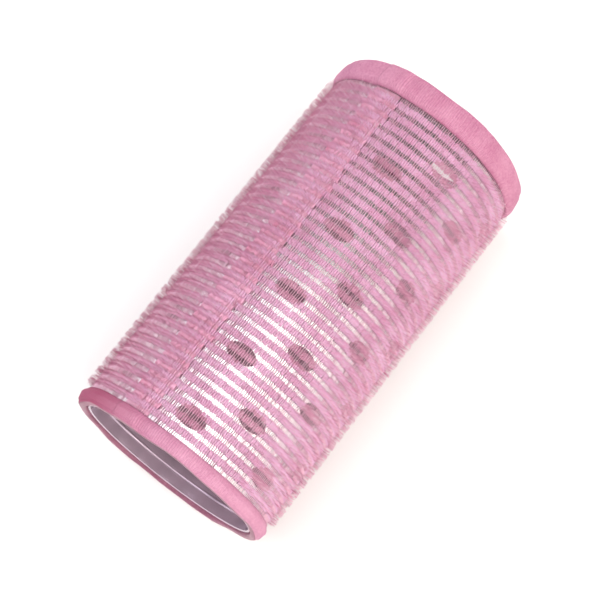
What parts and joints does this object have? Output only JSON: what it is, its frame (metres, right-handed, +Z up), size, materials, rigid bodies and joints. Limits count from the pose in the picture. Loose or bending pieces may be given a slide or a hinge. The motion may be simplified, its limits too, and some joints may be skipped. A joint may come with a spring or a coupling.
{
  "type": "hair roller",
  "caption": "Self-grip hair roller: a perforated aluminium tube in a pink knitted hook cover that holds wound hair without a clip.",
  "frame": {"origin": "on the floor under the middle of the roller as it lies on its side", "axes": "+X along the roller's axis towards the end with the wider hem, +Y towards the side that the cover's lap is on, +Z up"},
  "size_m": [0.063, 0.033, 0.0328],
  "materials": {
    "core_aluminium": "bright rolled sheet, punched with oval holes",
    "ring_aluminium": "polished, picking up the pink of the cover",
    "ground_nylon": "fine smooth knit with a low sheen",
    "hook_nylon": "dense pile of short stiff monofilament hooks"
  },
  "bodies": {
    "root": {"core_tube": "core_aluminium", "end_ring_near": "ring_aluminium", "end_ring_far": "ring_aluminium", "ground_cloth": "ground_nylon", "cover_inner_end": "ground_nylon", "hook_band_01": "hook_nylon", "hook_band_02": "hook_nylon", "hook_band_03": "hook_nylon", "hook_band_04": "hook_nylon", "hook_band_05": "hook_nylon", "hook_band_06": "hook_nylon", "hook_band_07": "hook_nylon", "hook_band_08": "hook_nylon", "hook_band_09": "hook_nylon", "hook_band_10": "hook_nylon", "hook_band_11": "hook_nylon", "hook_band_12": "hook_nylon", "hook_band_13": "hook_nylon", "hook_band_14": "hook_nylon", "hook_band_15": "hook_nylon", "hook_band_16": "hook_nylon", "hook_band_17": "hook_nylon", "hook_band_18": "hook_nylon", "hook_band_19": "hook_nylon", "hook_band_20": "hook_nylon", "hook_band_21": "hook_nylon", "hook_band_22": "hook_nylon", "hook_band_23": "hook_nylon", "hook_band_24": "hook_nylon", "hook_band_25": "hook_nylon", "hook_band_26": "hook_nylon", "hook_band_27": "hook_nylon", "hook_band_28": "hook_nylon", "hook_band_29": "hook_nylon", "hook_band_30": "hook_nylon", "hook_band_31": "hook_nylon", "hook_band_32": "hook_nylon", "hook_band_33": "hook_nylon", "hook_band_34": "hook_nylon"}
  },
  "joints": []
}
